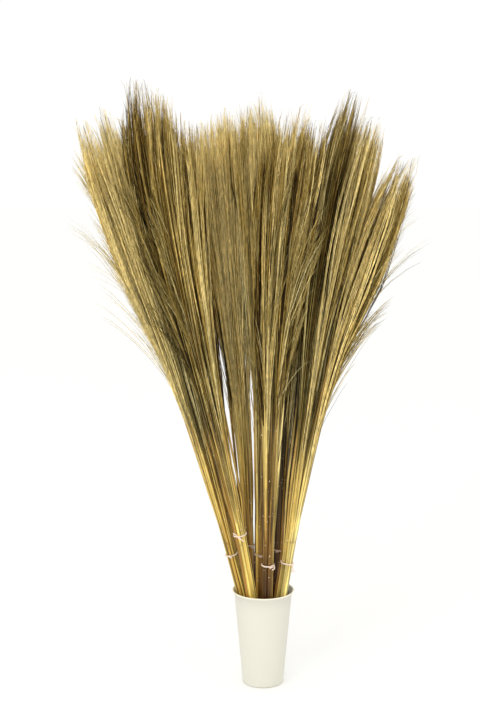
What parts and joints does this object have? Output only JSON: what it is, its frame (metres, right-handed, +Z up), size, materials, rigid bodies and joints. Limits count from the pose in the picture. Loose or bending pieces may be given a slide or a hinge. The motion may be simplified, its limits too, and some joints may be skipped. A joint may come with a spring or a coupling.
{
  "type": "bundle of dried broom grass in a vase",
  "caption": "Fan of dried broom grass with long hairy plumes, tied in small bunches of straw-gold canes and standing in a plain tapered white vase.",
  "frame": {"origin": "centre of the vase's flat base", "axes": "+Z up along the vase's axis; the side that the picture shows faces -Y, with +X to its right"},
  "size_m": [0.5138, 0.3643, 0.924],
  "materials": {
    "vase": "matt cream-white glaze",
    "grass": "dry straw canes and fine olive to gold hairs",
    "string": "thin pale pink string"
  },
  "bodies": {
    "root": {"vase": "vase", "left_stem_1": "grass", "left_stem_2": "grass", "left_stem_3": "grass", "left_stem_4": "grass", "left_stem_5": "grass", "left_stem_6": "grass", "left_stem_7": "grass", "left_stem_8": "grass", "front_left_stem_1": "grass", "front_left_stem_2": "grass", "front_left_stem_3": "grass", "front_left_stem_4": "grass", "front_left_stem_5": "grass", "front_left_stem_6": "grass", "front_left_stem_7": "grass", "front_left_stem_8": "grass", "back_left_stem_1": "grass", "back_left_stem_2": "grass", "back_left_stem_3": "grass", "back_left_stem_4": "grass", "back_left_stem_5": "grass", "back_left_stem_6": "grass", "back_left_stem_7": "grass", "middle_stem_1": "grass", "middle_stem_2": "grass", "middle_stem_3": "grass", "middle_stem_4": "grass", "middle_stem_5": "grass", "middle_stem_6": "grass", "front_right_stem_1": "grass", "front_right_stem_2": "grass", "front_right_stem_3": "grass", "front_right_stem_4": "grass", "front_right_stem_5": "grass", "front_right_stem_6": "grass", "front_right_stem_7": "grass", "front_right_stem_8": "grass", "right_stem_1": "grass", "right_stem_2": "grass", "right_stem_3": "grass", "right_stem_4": "grass", "right_stem_5": "grass", "right_stem_6": "grass", "right_stem_7": "grass", "right_stem_8": "grass", "back_right_stem_1": "grass", "back_right_stem_2": "grass", "back_right_stem_3": "grass", "back_right_stem_4": "grass", "back_right_stem_5": "grass", "back_right_stem_6": "grass", "back_right_stem_7": "grass", "left_tie": "string", "front_left_tie": "string", "back_left_tie": "string", "middle_tie": "string", "front_right_tie": "string", "right_tie": "string", "back_right_tie": "string"}
  },
  "joints": []
}
